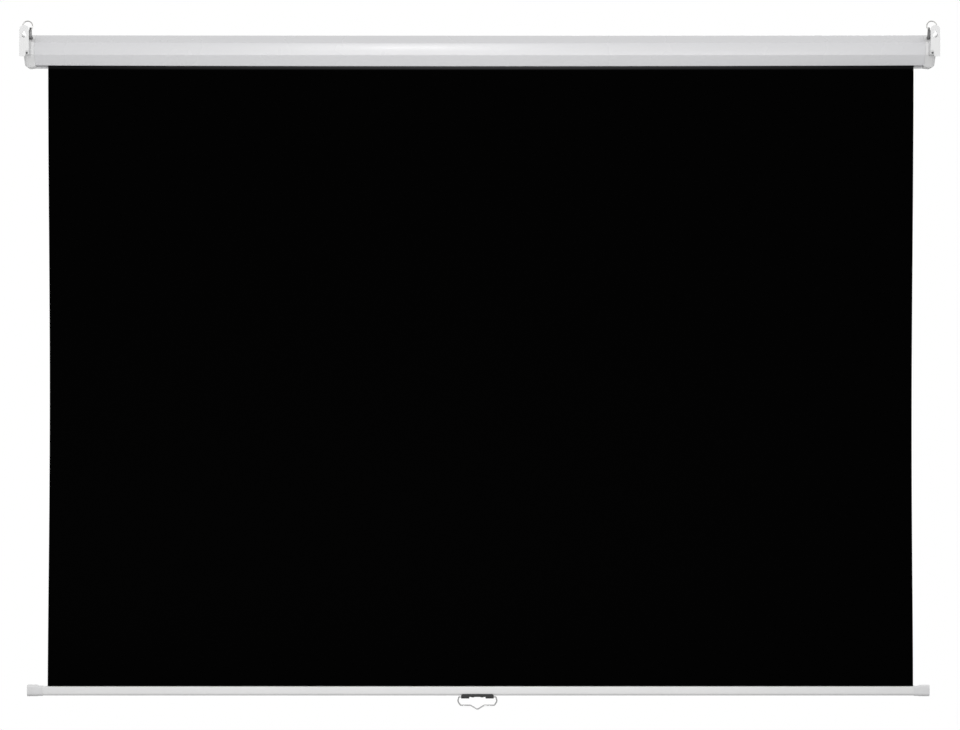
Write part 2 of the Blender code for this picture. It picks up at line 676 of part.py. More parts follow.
# Wall brackets, lugs, rings and their fasteners, a set at each end
for label, side in SIDES:
    wall_bracket(label, side)
    ring_lug(label, side)
    hanging_ring(label, side)
    for k, y in enumerate(FLANGE_SCREW_Y):
        screw("flange_screw_" + label + "_" + str(k + 1), FLANGE_SCREW,
              (side * (FLANGE_OUT + GAP), y, AXIS_Z), (-side, 0, 0), BRIGHT_STEEL)
    screw("cap_screw_" + label, CAP_SCREW, (side * CAP_SCREW_X, PLATE_BACK - GAP, CAP_SCREW_Z),
          (0, 1, 0), DARK_STEEL)
    seat, direction = rivet_place(side)
    screw("lug_rivet_" + label, LUG_RIVET, seat, direction, DARK_STEEL)


# The roller: an aluminium tube with a plug in each end; its empty is on the axis it turns on
roller = bpy.data.objects.new("roller_axis", None)
bpy.context.scene.collection.objects.link(roller)
roller.location = (0, AXIS_Y, AXIS_Z)
bpy.context.view_layer.update()


def on_roller(obj):
    """Hangs a piece on the roller's axis, in its place."""
    place = obj.matrix_world.copy()
    obj.parent = roller
    obj.matrix_parent_inverse = roller.matrix_world.inverted()
    obj.matrix_world = place
    return obj


def axis_point(x):
    return (x, AXIS_Y, AXIS_Z)


TUBE_BORE = ROLLER_RADIUS - ROLLER_WALL
PLUG_OUT = ROLLER_HALF + GAP + PLUG_FLANGE
PLUG_IN = ROLLER_HALF - PLUG_LENGTH


def plug_profile(bore):
    """An end plug from its outer face: flange against the tube's end, then the pushed-in part."""
    body = TUBE_BORE - GAP
    deep = PLUG_OUT - PLUG_IN
    return [(bore, 0), (ROLLER_RADIUS, 0), (ROLLER_RADIUS, PLUG_FLANGE), (body, PLUG_FLANGE),
            (body, deep), (bore, deep)]


on_roller(tube("roller_tube", ROLLER_RADIUS, TUBE_BORE, axis_point(-ROLLER_HALF), (1, 0, 0),
               2 * ROLLER_HALF, BRIGHT_STEEL, steps=40))
on_roller(tube("cloth_turns", WRAP_RADIUS, ROLLER_RADIUS + GAP, axis_point(CLOTH_LEFT),
               (1, 0, 0), CLOTH_WIDTH, BLACK_CLOTH, steps=40))
spring_plug = turned("spring_plug", plug_profile(ARBOR_RADIUS + RUN_CLEAR),
                     axis_point(-PLUG_OUT), (1, 0, 0), WHITE_PLASTIC, steps=32)
idle_plug = turned("idle_plug", plug_profile(IDLE_PIN_RADIUS + GAP), axis_point(PLUG_OUT),
                   (-1, 0, 0), WHITE_PLASTIC, steps=32)
on_roller(spring_plug)
on_roller(idle_plug)
on_roller(rod("idle_pin", IDLE_PIN_RADIUS, axis_point(PLUG_IN), (1, 0, 0),
              CAP_FACE - GAP - PLUG_IN, BRIGHT_STEEL))
bush_profile = [(IDLE_PIN_RADIUS + RUN_CLEAR, 0), (BUSH_RADIUS + BUSH_WALL, 0),
                (BUSH_RADIUS + BUSH_WALL, BUSH_WALL), (BUSH_RADIUS, BUSH_WALL),
                (BUSH_RADIUS, BUSH_WALL + SOCKET_LENGTH), (IDLE_PIN_RADIUS + RUN_CLEAR,
                                                           BUSH_WALL + SOCKET_LENGTH)]
turned("idle_bush", bush_profile, axis_point(SOCKET_END - GAP - BUSH_WALL), (1, 0, 0),
       WHITE_PLASTIC)

# The ratchet: a toothed disc on the fixed arbor, and two pawls that turn with the roller
DISC_OUT = PLUG_OUT + GAP + DISC_LENGTH
tooth_angle = 360 / DISC_TEETH
disc_outline = []
for tooth in range(DISC_TEETH):
    for j in range(TOOTH_STEPS):
        angle = math.radians(tooth_angle * (tooth + j / (TOOTH_STEPS - 0.5)))
        radius = DISC_RADIUS - NOTCH_DEPTH * j / (TOOTH_STEPS - 1)
        disc_outline.append((AXIS_Y + radius * math.cos(angle), AXIS_Z + radius * math.sin(angle)))
disc_bore = arc((AXIS_Y, AXIS_Z), ARBOR_RADIUS + GAP, 0, 360, 24)[:-1]
prism("ratchet_disc", [disc_outline, disc_bore], ALONG_X, -DISC_OUT, -(PLUG_OUT + GAP), BRASS)

PAWL_OUT = PLUG_OUT + GAP + PAWL_THICK
for label, side in (("upper", 1), ("lower", -1)):
    pivot = bpy.data.objects.new("pawl_axis_" + label, None)
    bpy.context.scene.collection.objects.link(pivot)
    pivot.parent = roller
    pivot.location = (0, 0, side * PAWL_PIVOT)
    eye = arc((0, 0), PAWL_EYE_RADIUS, -60, 150, 8)
    nose = [(-PAWL_REACH - PAWL_NOSE, -PAWL_DIP + PAWL_NOSE), (-PAWL_REACH, -PAWL_DIP),
            (-PAWL_REACH + PAWL_NOSE, -PAWL_DIP - PAWL_NOSE / 2)]
    hole = arc((0, 0), PAWL_PIN[0] + GAP, 0, 360, 12)[:-1]
    outlines = [[(side * y, side * z) for y, z in points] for points in (eye + nose, hole)]
    pawl = prism("pawl_" + label, outlines, ALONG_X, -PAWL_OUT, -(PLUG_OUT + GAP), BRIGHT_STEEL)
    pawl.parent = pivot
    seat = (-(PAWL_OUT + GAP), AXIS_Y, AXIS_Z + side * PAWL_PIVOT)
    on_roller(screw("pawl_pin_" + label, PAWL_PIN, seat, (1, 0, 0), BRIGHT_STEEL))
    cut(spring_plug, [screw_hole("pawl_pin_hole_" + label, PAWL_PIN, seat, (1, 0, 0))])

# The spring motor: the arbor is held by the left cap, the spring winds between it and the anchor
ARBOR_OUT = SOCKET_END - GAP
COLLAR_AT = ARBOR_OUT - PLUG_IN + PLUG_FLANGE
spring_start = -ARBOR_OUT + COLLAR_AT + COLLAR_LENGTH + GAP + SPRING_WIRE * 1.5
anchor_start = spring_start + SPRING_LENGTH + SPRING_WIRE * 1.5 + GAP
arbor_length = anchor_start + ANCHOR_LENGTH + ARBOR_TAIL + ARBOR_OUT
arbor_profile = [(0, 0), (ARBOR_RADIUS, 0), (ARBOR_RADIUS, COLLAR_AT),
                 (COLLAR_RADIUS, COLLAR_AT), (COLLAR_RADIUS, COLLAR_AT + COLLAR_LENGTH),
                 (ARBOR_RADIUS, COLLAR_AT + COLLAR_LENGTH), (ARBOR_RADIUS, arbor_length),
                 (0, arbor_length)]
arbor = turned("spring_arbor", arbor_profile, axis_point(-ARBOR_OUT), (1, 0, 0), BRIGHT_STEEL)
join(arbor, [box("tang", (-TANG_END, AXIS_Y - TANG_THICK / 2, AXIS_Z - TANG_HEIGHT / 2),
                 (-ARBOR_OUT + TANG_THICK, AXIS_Y + TANG_THICK / 2, AXIS_Z + TANG_HEIGHT / 2))])
steps = SPRING_TURNS * SPRING_POINTS
spring_points = []
for k in range(steps + 1):
    angle = math.tau * k / SPRING_POINTS
    spring_points.append((spring_start + SPRING_LENGTH * k / steps,
                          AXIS_Y + SPRING_RADIUS * math.cos(angle),
                          AXIS_Z + SPRING_RADIUS * math.sin(angle)))
wire("torsion_spring", spring_points, SPRING_WIRE, BRIGHT_STEEL, resolution=1)
on_roller(tube("spring_anchor", TUBE_BORE - GAP, ARBOR_RADIUS + RUN_CLEAR,
               axis_point(anchor_start), (1, 0, 0), ANCHOR_LENGTH, WHITE_PLASTIC, steps=32))

# The screen cloth, hanging from the back of the roller into the slot of the bar
box("screen_cloth", (CLOTH_LEFT, CLOTH_Y - CLOTH_THICK / 2, BAR_TOP - CLOTH_IN_BAR),
    (CLOTH_LEFT + CLOTH_WIDTH, CLOTH_Y + CLOTH_THICK / 2, AXIS_Z), BLACK_CLOTH)


def bar_outline(grow_y, grow_up, grow_down):
    """The bar's outline in (Y, Z), half round below, grown at its sides, above and below."""
    half = BAR_DEPTH / 2 + grow_y
    low, high = BAR_BOTTOM - grow_down, BAR_TOP + grow_up
    corners = [(BAR_Y - half, high), (BAR_Y - half, low), (BAR_Y + half, low), (BAR_Y + half, high)]
    top, foot = BAR_TOP_CORNER + grow_y, BAR_LOW_CORNER + grow_y
    return rounded(corners, [top, foot, foot, top], steps=5)


# The bottom bar: a drawn steel channel that holds the hem and its rod
bar_path = [(BAR_Y - BAR_SLOT / 2, BAR_TOP), (BAR_Y - BAR_DEPTH / 2, BAR_TOP),
            (BAR_Y - BAR_DEPTH / 2, BAR_BOTTOM), (BAR_Y + BAR_DEPTH / 2, BAR_BOTTOM),
            (BAR_Y + BAR_DEPTH / 2, BAR_TOP), (BAR_Y + BAR_SLOT / 2, BAR_TOP)]
bar_bends = [0, BAR_TOP_CORNER, BAR_LOW_CORNER, BAR_LOW_CORNER, BAR_TOP_CORNER, 0]
bar = folded("bottom_bar", rounded(bar_path, bar_bends, steps=5, closed=False), BAR_WALL,
             BAR_HALF - BAR_CAP_END - GAP, BAR_SHIFT, BAR_PAINT)
HEM_RADIUS = HEM_ROD_RADIUS + GAP + HEM_WALL
HEM_Z = BAR_TOP - CLOTH_IN_BAR - GAP - HEM_RADIUS
tube("cloth_hem", HEM_RADIUS, HEM_RADIUS - HEM_WALL, (CLOTH_LEFT, BAR_Y, HEM_Z), (1, 0, 0),
     CLOTH_WIDTH, BLACK_CLOTH, steps=16)
rod("hem_rod", HEM_ROD_RADIUS, (CLOTH_LEFT, BAR_Y, HEM_Z), (1, 0, 0), CLOTH_WIDTH,
    BRIGHT_STEEL, steps=12)
for label, side in SIDES:
    name = "bar_cap_" + label
    end = BAR_SHIFT + side * BAR_HALF
    start = end - side * BAR_CAP_LENGTH
    thick = bar_outline(BAR_CAP_PROUD, BAR_CAP_RISE, BAR_CAP_DROP)
    sleeve = bar_outline(BAR_CAP_SLEEVE, BAR_CAP_SLEEVE, BAR_CAP_SLEEVE)
    stations = [(end, thick), (end - side * BAR_CAP_BODY, thick),
                (end - side * (BAR_CAP_BODY + BAR_CAP_TAPER), sleeve), (start, sleeve)]
    cap = loft(name, [[(x, y, z) for y, z in ring] for x, ring in stations], CAP_PLASTIC)
    cut(cap, [prism(name + "_pocket", [bar_outline(GAP, GAP, GAP)], ALONG_X,
                    start - side * BAR_CAP_END, end - side * BAR_CAP_END)])

# The handle holder: a channel under the bar with a foot at each end, and two screws
holder_half_depth = BAR_DEPTH / 2 + GAP + HOLDER_WALL
holder_top = BAR_BOTTOM + HOLDER_COVER
holder_outline = [(-HOLDER_HALF, HOLDER_BOTTOM), (HOLDER_HALF, HOLDER_BOTTOM),
                  (HOLDER_HALF, holder_top - HOLDER_CHAMFER),
                  (HOLDER_HALF - HOLDER_CHAMFER, holder_top),
                  (-HOLDER_HALF + HOLDER_CHAMFER, holder_top),
                  (-HOLDER_HALF, holder_top - HOLDER_CHAMFER)]
holder = prism("handle_holder", [[(HANDLE_SHIFT + x, z) for x, z in holder_outline]], ALONG_Y,
               BAR_Y - holder_half_depth, BAR_Y + holder_half_depth, BLACK_PLASTIC)
cut(holder, [prism("holder_pocket", [bar_outline(GAP, GAP, GAP)], ALONG_X,
                   HANDLE_SHIFT - 2 * HOLDER_HALF, HANDLE_SHIFT + 2 * HOLDER_HALF)])
feet = []
for label, side in SIDES:
    ends = (HANDLE_SHIFT + side * (HOLDER_HALF - FOOT_LENGTH), HANDLE_SHIFT + side * HOLDER_HALF)
    feet.append(box("foot_" + label,
                    (min(ends), BAR_Y - FOOT_DEPTH / 2, HOLDER_BOTTOM - FOOT_DROP),
                    (max(ends), BAR_Y + FOOT_DEPTH / 2, HOLDER_BOTTOM + HOLDER_WALL / 2)))
join(holder, feet)
cut(holder, [rod("handle_bore", HANDLE_WIRE + GAP,
                 (HANDLE_SHIFT - 2 * HOLDER_HALF, BAR_Y, HANDLE_PIVOT_Z), (1, 0, 0),
                 4 * HOLDER_HALF, steps=16)])
for label, side in SIDES:
    seat = (HANDLE_SHIFT + side * NUB_SPACING, BAR_Y, HOLDER_BOTTOM - GAP)
    screw("holder_screw_" + label, HOLDER_SCREW, seat, (0, 0, 1), BLACK_PLASTIC)
    hole = screw_hole("holder_screw_hole_" + label, HOLDER_SCREW, seat, (0, 0, 1))
    cut(holder, [hole])
    cut(bar, [hole])

# The pull handle: one bent wire, its ends turned into the feet, with a nose in the middle
handle_axis = bpy.data.objects.new("handle_axis", None)
bpy.context.scene.collection.objects.link(handle_axis)
handle_axis.location = (HANDLE_SHIFT, BAR_Y, HANDLE_PIVOT_Z)
half_corners = [(HOLDER_HALF - FOOT_LENGTH + HANDLE_WIRE, 0, 0.0),
                (HANDLE_HALF - HANDLE_LEAN, 0, HANDLE_TOP_BEND),
                (HANDLE_HALF + HANDLE_BULGE, -HANDLE_DROP / 2, HANDLE_SIDE_BEND),
                (HANDLE_HALF - HANDLE_TUCK, -HANDLE_DROP, HANDLE_LOW_BEND),
                (HANDLE_NOSE_HALF, -HANDLE_DROP, HANDLE_LOW_BEND)]
nose = (0, -HANDLE_DROP - HANDLE_POINT, HANDLE_NOSE_BEND)
corners = [(-x, z, r) for x, z, r in half_corners] + [nose] + half_corners[::-1]
handle_path = rounded([(x, z) for x, z, r in corners], [r for x, z, r in corners], steps=3,
                      closed=False)
handle = wire("pull_handle", [(x, 0, z) for x, z in handle_path], HANDLE_WIRE, BRIGHT_STEEL)
handle.parent = handle_axis
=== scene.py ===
"""Pull-down projector screen, seen from its wall side with the cloth down.

Metres. X runs along the case, Y away from the wall, Z up. The origin is on the wall, midway between
the two keyholes. Each section below makes one piece of the screen, in the order of its assembly.
"""
import math

import bmesh
import bpy
import numpy as np
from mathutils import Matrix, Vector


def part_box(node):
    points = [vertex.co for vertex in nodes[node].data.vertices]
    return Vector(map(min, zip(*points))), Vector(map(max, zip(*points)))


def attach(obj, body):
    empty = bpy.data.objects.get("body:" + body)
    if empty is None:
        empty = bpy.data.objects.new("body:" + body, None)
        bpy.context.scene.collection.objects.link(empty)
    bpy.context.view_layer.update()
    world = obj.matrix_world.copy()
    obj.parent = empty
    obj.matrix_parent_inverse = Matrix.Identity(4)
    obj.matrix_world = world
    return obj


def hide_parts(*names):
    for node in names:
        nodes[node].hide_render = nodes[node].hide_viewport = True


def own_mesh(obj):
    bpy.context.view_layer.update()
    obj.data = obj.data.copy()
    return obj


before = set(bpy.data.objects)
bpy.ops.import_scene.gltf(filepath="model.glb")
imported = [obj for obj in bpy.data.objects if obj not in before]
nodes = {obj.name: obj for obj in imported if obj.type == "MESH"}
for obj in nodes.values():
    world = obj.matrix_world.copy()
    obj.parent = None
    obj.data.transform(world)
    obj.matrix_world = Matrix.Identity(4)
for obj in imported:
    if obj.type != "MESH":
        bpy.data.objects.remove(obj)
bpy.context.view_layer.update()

# The studio: a camera at the middle height of the screen, on its wall side, 4.5 m away, with soft
# light from large white panels and a pale floor whose far edge runs out into the white background.
scene = bpy.context.scene
scene.view_settings.view_transform = "Standard"
camera = bpy.data.objects.new("camera", bpy.data.cameras.new("camera"))
scene.collection.objects.link(camera)
scene.camera = camera
camera.data.lens = 85.3
camera.data.sensor_width = 36.0
camera.location = (0.0006, -4.458, -0.6533)
camera.rotation_euler = (math.pi / 2, 0, 0)
camera.data.clip_end = 100.0


def softbox(name, place, target, width, height, power):
    """A rectangular lamp at a place, turned to a target; its power is in watts."""
    lamp = bpy.data.lights.new(name, "AREA")
    lamp.shape = "RECTANGLE"
    lamp.size, lamp.size_y = width, height
    lamp.energy = power
    holder = bpy.data.objects.new(name, lamp)
    scene.collection.objects.link(holder)
    holder.location = place
    aim = np.array(target, float) - np.array(place, float)
    holder.rotation_euler = (math.acos(-aim[2] / np.linalg.norm(aim)), 0,
                             math.atan2(aim[0], -aim[1]) + math.pi)
    holder.visible_camera = False
    return holder


softbox("rear_panel", (0.1, -3.8, -0.6), (0, 0, -0.3), 2.4, 1.6, 45)
low_panel = softbox("low_panel", (-0.25, -0.45, -1.15), (-0.2, 0.03, -0.05), 1.8, 0.4, 4.4)
low_panel.visible_glossy = False
softbox("front_panel", (1.4, 3.8, 1.4), (0, 0, -0.6), 2.4, 1.8, 46)
softbox("streak_lamp", (-0.26, -4.3, 0.70), (-0.1, 0, -0.03), 0.32, 0.18, 19)

WORLD_LEVEL = 0.74
world = bpy.data.worlds.new("studio")
scene.world = world
world.use_nodes = True
world.node_tree.nodes.clear()


def set_up(tree, node, **settings):
    """Sets a node up. Settings named in_0, in_1 or in_Name go to its inputs, as a value or, where
    they are another node's output, as a link from it. The rest go to the node itself."""
    for key, value in settings.items():
        if not key.startswith("in_"):
            setattr(node, key, value)
            continue
        place = key[3:].replace("_", " ")
        socket = node.inputs[int(place) if place.isdigit() else place]
        if isinstance(value, bpy.types.NodeSocket):
            tree.links.new(value, socket)
        else:
            socket.default_value = value
    return node


def node_in(tree, kind, **settings):
    """A new node of a kind, set up."""
    return set_up(tree, tree.nodes.new("ShaderNode" + kind), **settings)


def maths(tree, operation, *values):
    """The result of a Math node on one or two numbers or outputs."""
    inputs = {"in_" + str(place): value for place, value in enumerate(values)}
    return node_in(tree, "Math", operation=operation, **inputs).outputs[0]


def colour_mix(tree, factor, first, second):
    """A colour that goes from the first to the second as the factor goes from 0 to 1."""
    return node_in(tree, "Mix", data_type="RGBA", in_0=factor, in_6=first, in_7=second).outputs[2]


def seen_directly(tree):
    """A factor that is 1 for rays from the camera, off glossy metal and through glass."""
    ray = node_in(tree, "LightPath").outputs
    direct = maths(tree, "MAXIMUM", ray["Is Camera Ray"], ray["Is Glossy Ray"])
    return maths(tree, "MAXIMUM", direct, ray["Is Transmission Ray"])


tree = world.node_tree
dim = node_in(tree, "Background", in_Color=(1, 1, 1, 1), in_Strength=WORLD_LEVEL)
white = node_in(tree, "Background", in_Color=(1, 1, 1, 1), in_Strength=1.0)
choice = node_in(tree, "MixShader", in_0=seen_directly(tree), in_1=dim.outputs[0],
                 in_2=white.outputs[0])
node_in(tree, "OutputWorld", in_0=choice.outputs[0])


def blank_look(name):
    """A new material with nodes; returns it, its node tree and its shader."""
    look = bpy.data.materials.new(name)
    look.use_nodes = True
    return look, look.node_tree, look.node_tree.nodes["Principled BSDF"]


FLOOR_Z, FLOOR_HALF = -2.05, 9.0
FADE_START, FADE_END = 2.6, 4.4
floor_mesh = bpy.data.meshes.new("floor")
floor_mesh.from_pydata([(FLOOR_HALF * x, FLOOR_HALF * y, FLOOR_Z)
                        for x, y in ((-1, -1), (1, -1), (1, 1), (-1, 1))], [], [(0, 1, 2, 3)])
floor = bpy.data.objects.new("floor", floor_mesh)
scene.collection.objects.link(floor)
floor_look, tree, matte = blank_look("pale_floor")
floor_paint = colour_mix(tree, seen_directly(tree), (0.30, 0.30, 0.30, 1), (0.86, 0.86, 0.86, 1))
set_up(tree, matte, in_Base_Color=floor_paint, in_Roughness=0.9, in_Specular_IOR_Level=0.1)
glow = node_in(tree, "Emission", in_Color=(1, 1, 1, 1), in_Strength=1.0)
spot = node_in(tree, "TexCoord").outputs["Object"]
reach = node_in(tree, "VectorMath", operation="LENGTH", in_0=spot)
rim = node_in(tree, "MapRange", interpolation_type="SMOOTHSTEP", in_0=reach.outputs["Value"],
              in_1=FADE_START, in_2=FADE_END)
blend = node_in(tree, "MixShader", in_1=matte.outputs[0], in_2=glow.outputs[0],
                in_0=maths(tree, "MULTIPLY", rim.outputs[0], seen_directly(tree)))
set_up(tree, tree.nodes["Material Output"], in_0=blend.outputs[0])
floor_mesh.materials.append(floor_look)

# The case: one steel sheet, 1 mm thick, folded into eight flats round the roller and hemmed at both
# edges of its mouth, then powder coated white. Each flat is very slightly crowned by the folding.
WALL_GAP, CASE_DEPTH = 0.024, 0.064
CASE_TOP, CASE_FOOT = 0.0004, -0.0635
SHOULDER, WAIST = -0.0172, -0.0420
TOP_RUN, LOW_RUN = 0.027, 0.016
CASE_HALF = 0.878
CASE_SHEET = 0.001
FOLD, BEND = 0.0012, 0.0035
HEM = 0.0060
MOUTH = 0.016
CROWN, CROWNED_FROM = 0.0003, 0.008
SAG, LIP_SAG = 0.0008, 0.0010
FOLD_STEPS, FLAT_STEPS = 6, 8
EVEN_HALF, STATIONS, END_STRIP = 0.86, 57, 0.0006
CASE_BACK, CASE_FRONT = WALL_GAP, WALL_GAP + CASE_DEPTH
MOUTH_BACK = CASE_BACK + LOW_RUN
MOUTH_FRONT = MOUTH_BACK + MOUTH


def unit(vectors):
    """Each vector over its own length."""
    return vectors / np.linalg.norm(vectors, axis=-1, keepdims=True)


def bent(corners, radii, steps):
    """An open line with arcs for corners. Each arc's centre lies on the corner's bisector, at the
    radius over the sine of half the corner's angle, and its points turn evenly about it."""
    corners = np.asarray(corners, float)
    radii = np.broadcast_to(np.asarray(radii, float), (len(corners) - 2,))[:, None]
    here = corners[1:-1]
    back = unit(corners[:-2] - here)
    ahead = unit(corners[2:] - here)
    half = np.arccos(np.clip((back * ahead).sum(1), -1, 1))[:, None] / 2
    centre = here + unit(back + ahead) * radii / np.sin(half)
    start = here + back * radii / np.tan(half) - centre
    side = back[:, 1] * ahead[:, 0] - back[:, 0] * ahead[:, 1]
    sweep = (math.pi - 2 * half) * np.sign(side)[:, None]
    turn = sweep * np.linspace(0, 1, steps + 1)[None, :]
    cos, sin = np.cos(turn), np.sin(turn)
    arcs = np.stack([centre[:, :1] + start[:, :1] * cos - start[:, 1:] * sin,
                     centre[:, 1:] + start[:, :1] * sin + start[:, 1:] * cos], axis=-1)
    return np.vstack([corners[:1], arcs.reshape(-1, 2), corners[-1:]])


def crowned(line, steps, height):
    """Puts points along each flat, which is any stretch longer than 8 mm, and lifts them to the
    line's right hand by a shallow parabola: the height times four times the share along the flat
    times what is left of it."""
    share = np.arange(steps)[None, :, None] / steps
    start, run = line[:-1, None, :], (line[1:] - line[:-1])[:, None, :]
    length = np.linalg.norm(run, axis=2, keepdims=True)
    side = np.concatenate([run[..., 1:], -run[..., :1]], axis=2) / length
    lift = height * 4 * share * (1 - share) * (length > CROWNED_FROM)
    points = start + run * share + side * lift
    kept = (length > CROWNED_FROM) | (share == 0)
    return np.vstack([points[kept[..., 0]], line[-1:]])


def thickened(line, depth):
    """The outline of a sheet: the line, then the line again from its end, moved to its right by
    the depth along each corner's bisector, so that every stretch keeps the depth."""
    ahead = unit(line[1:] - line[:-1])
    right = np.stack([ahead[:, 1], -ahead[:, 0]], axis=1)
    before, after = np.vstack([right[:1], right]), np.vstack([right, right[-1:]])
    share = 1 + (before * after).sum(1)[:, None]
    return np.vstack([line, (line + (before + after) / share * depth)[::-1]])


def grid_mesh(name, points, around=False, along=False, capped=False):
    """A mesh from points in rows: (rows, points in a row, 3). Neighbours in both directions make a
    face; around joins each row's end to its start, along the last row to the first, and capped
    closes the first and last rows with one face each."""
    rows, count = points.shape[:2]
    index = np.arange(rows * count).reshape(rows, count)
    if around:
        index = np.concatenate([index, index[:, :1]], axis=1)
    if along:
        index = np.concatenate([index, index[:1]], axis=0)
    quads = np.stack([index[:-1, :-1], index[:-1, 1:], index[1:, 1:], index[1:, :-1]], axis=-1)
    faces = quads.reshape(-1, 4).tolist()
    if capped:
        faces += [index[0, :count][::-1].tolist(), index[-1, :count].tolist()]
    mesh = bpy.data.meshes.new(name)
    mesh.from_pydata(points.reshape(-1, 3).tolist(), [], faces)
    spots = np.empty((quads.shape[0], quads.shape[1], 4, 2))
    across = np.linspace(0, 1, quads.shape[1] + 1)
    down = np.linspace(0, 1, quads.shape[0] + 1)
    spots[..., 0, 0], spots[..., 1, 0] = across[:-1], across[1:]
    spots[..., 2, 0], spots[..., 3, 0] = across[1:], across[:-1]
    spots[..., 0, 1], spots[..., 1, 1] = down[:-1, None], down[:-1, None]
    spots[..., 2, 1], spots[..., 3, 1] = down[1:, None], down[1:, None]
    flat = np.zeros((len(mesh.loops), 2), np.float32)
    flat[:quads.size] = spots.reshape(-1, 2)
    mesh.uv_layers.new(name="UVMap").data.foreach_set("uv", flat.ravel())
    if around or capped:
        outward(mesh)
    return mesh


def outward(mesh):
    """Turns every face of a closed mesh outwards."""
    bm = bmesh.new()
    bm.from_mesh(mesh)
    bmesh.ops.recalc_face_normals(bm, faces=bm.faces)
    bm.to_mesh(mesh)
    bm.free()


SHARP_DEGREES = 32


def shade(mesh, degrees):
    """Smooth shading, with real edges kept sharp."""
    mesh.shade_smooth()
    mesh.set_sharp_from_angle(angle=math.radians(degrees))


def piece(name, mesh, look, body, replaced, degrees=SHARP_DEGREES):
    """Puts a mesh in the scene as a piece that rides on a body, takes its finish from a slot and
    stands in the place of the CAD nodes that it replaces."""
    shade(mesh, degrees)
    made = bpy.data.objects.new(name, mesh)
    scene.collection.objects.link(made)
    mesh.materials.append(look)
    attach(made, body)
    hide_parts(*replaced)


def group_of(name, inputs, outputs):
    """An empty shader node group with its named sockets; returns the tree and its two end nodes."""
    tree = bpy.data.node_groups.new(name, "ShaderNodeTree")
    for in_out, sockets in (("INPUT", inputs), ("OUTPUT", outputs)):
        for label, kind in sockets:
            tree.interface.new_socket(name=label, in_out=in_out, socket_type="NodeSocket" + kind)
    return tree, tree.nodes.new("NodeGroupInput"), tree.nodes.new("NodeGroupOutput")


# Grain: fine cells for the bump and slow patches for colour and gloss, on the piece's own place.
grain_group, source, sink = group_of(
    "grain", [("Cells", "Float"), ("Patches", "Float"), ("Stretch", "Vector")],
    [("Height", "Float"), ("Patch", "Float")])
place = node_in(grain_group, "TexCoord").outputs["Object"]
scaled = node_in(grain_group, "VectorMath", operation="MULTIPLY", in_0=place,
                 in_1=source.outputs["Stretch"]).outputs[0]
cells = node_in(grain_group, "TexNoise", in_Vector=scaled, in_Scale=source.outputs["Cells"],
                in_Detail=3.0, in_Roughness=0.6)
patches = node_in(grain_group, "TexNoise", in_Vector=scaled, in_Scale=source.outputs["Patches"],
                  in_Detail=4.0, in_Roughness=0.55)
set_up(grain_group, sink, in_Height=cells.outputs["Fac"], in_Patch=patches.outputs["Fac"])

# Rubbed edges: where the surface is sharply convex its colour goes over to a worn one, in patches.
wear_group, source, sink = group_of(
    "rubbed_edges",
    [("Color", "Color"), ("Worn", "Color"), ("Amount", "Float"), ("Patch", "Float")],
    [("Color", "Color")])
form = node_in(wear_group, "NewGeometry").outputs["Pointiness"]
edge = node_in(wear_group, "MapRange", interpolation_type="SMOOTHSTEP", in_0=form, in_1=0.52,
               in_2=0.62)
broken = node_in(wear_group, "MapRange", in_0=source.outputs["Patch"], in_1=0.42, in_2=0.62)
wear_and_reflection = maths(wear_group, "MULTIPLY", edge.outputs[0], broken.outputs[0])
wear_and_reflection = maths(wear_group, "MULTIPLY", wear_and_reflection, source.outputs["Amount"])
set_up(wear_group, sink, in_Color=colour_mix(wear_group, wear_and_reflection, source.outputs["Color"],
                                             source.outputs["Worn"]))


def finish(name, colour, patch, roughness, spread, cells, depth, patches=14.0, metallic=0.0,
           worn=None, amount=0.5, stretch=(1, 1, 1), specular=0.5, coat=0.0):
    """A finish: colour going to patch in slow patches, roughness varying by spread about its mean,
    a bump of so many cells a metre and so deep, and edges rubbed towards the worn colour."""
    look, tree, shader = blank_look(name)
    grain = node_in(tree, "Group", node_tree=grain_group, in_Cells=cells, in_Patches=patches,
                    in_Stretch=stretch).outputs
    tint = colour_mix(tree, grain["Patch"], (*colour, 1), (*patch, 1))
    if worn is not None:
        tint = node_in(tree, "Group", node_tree=wear_group, in_Color=tint, in_Worn=(*worn, 1),
                       in_Amount=amount, in_Patch=grain["Patch"]).outputs["Color"]
    sheen = node_in(tree, "MapRange", in_0=grain["Patch"], in_1=0.3, in_2=0.7,
                    in_3=roughness - spread, in_4=roughness + spread)
    bump = node_in(tree, "Bump", in_Strength=1.0, in_Distance=depth, in_Height=grain["Height"])
    set_up(tree, shader, in_Base_Color=tint, in_Metallic=metallic, in_Roughness=sheen.outputs[0],
           in_Normal=bump.outputs[0], in_Specular_IOR_Level=specular, in_Coat_Weight=coat,
           in_Coat_Roughness=0.13)
    return look


case_paint = finish("case_powder_coat", (0.672, 0.672, 0.686), (0.648, 0.648, 0.662), 0.27, 0.03,
                    900, 0.00002, patches=5.0, worn=(0.60, 0.60, 0.61), amount=0.4, coat=0.05)
case_line = bent([(MOUTH_BACK, CASE_FOOT + HEM), (MOUTH_BACK, CASE_FOOT), (CASE_BACK, WAIST),
                  (CASE_BACK, SHOULDER), (CASE_BACK + TOP_RUN, CASE_TOP),
                  (CASE_FRONT - TOP_RUN, CASE_TOP), (CASE_FRONT, SHOULDER), (CASE_FRONT, WAIST),
                  (CASE_FRONT - LOW_RUN, CASE_FOOT), (MOUTH_FRONT, CASE_FOOT),
                  (MOUTH_FRONT, CASE_FOOT + HEM)],
                 [FOLD, BEND, BEND, BEND, BEND, BEND, BEND, FOLD, FOLD], FOLD_STEPS)
case_outline = thickened(crowned(case_line, FLAT_STEPS, -CROWN), CASE_SHEET)
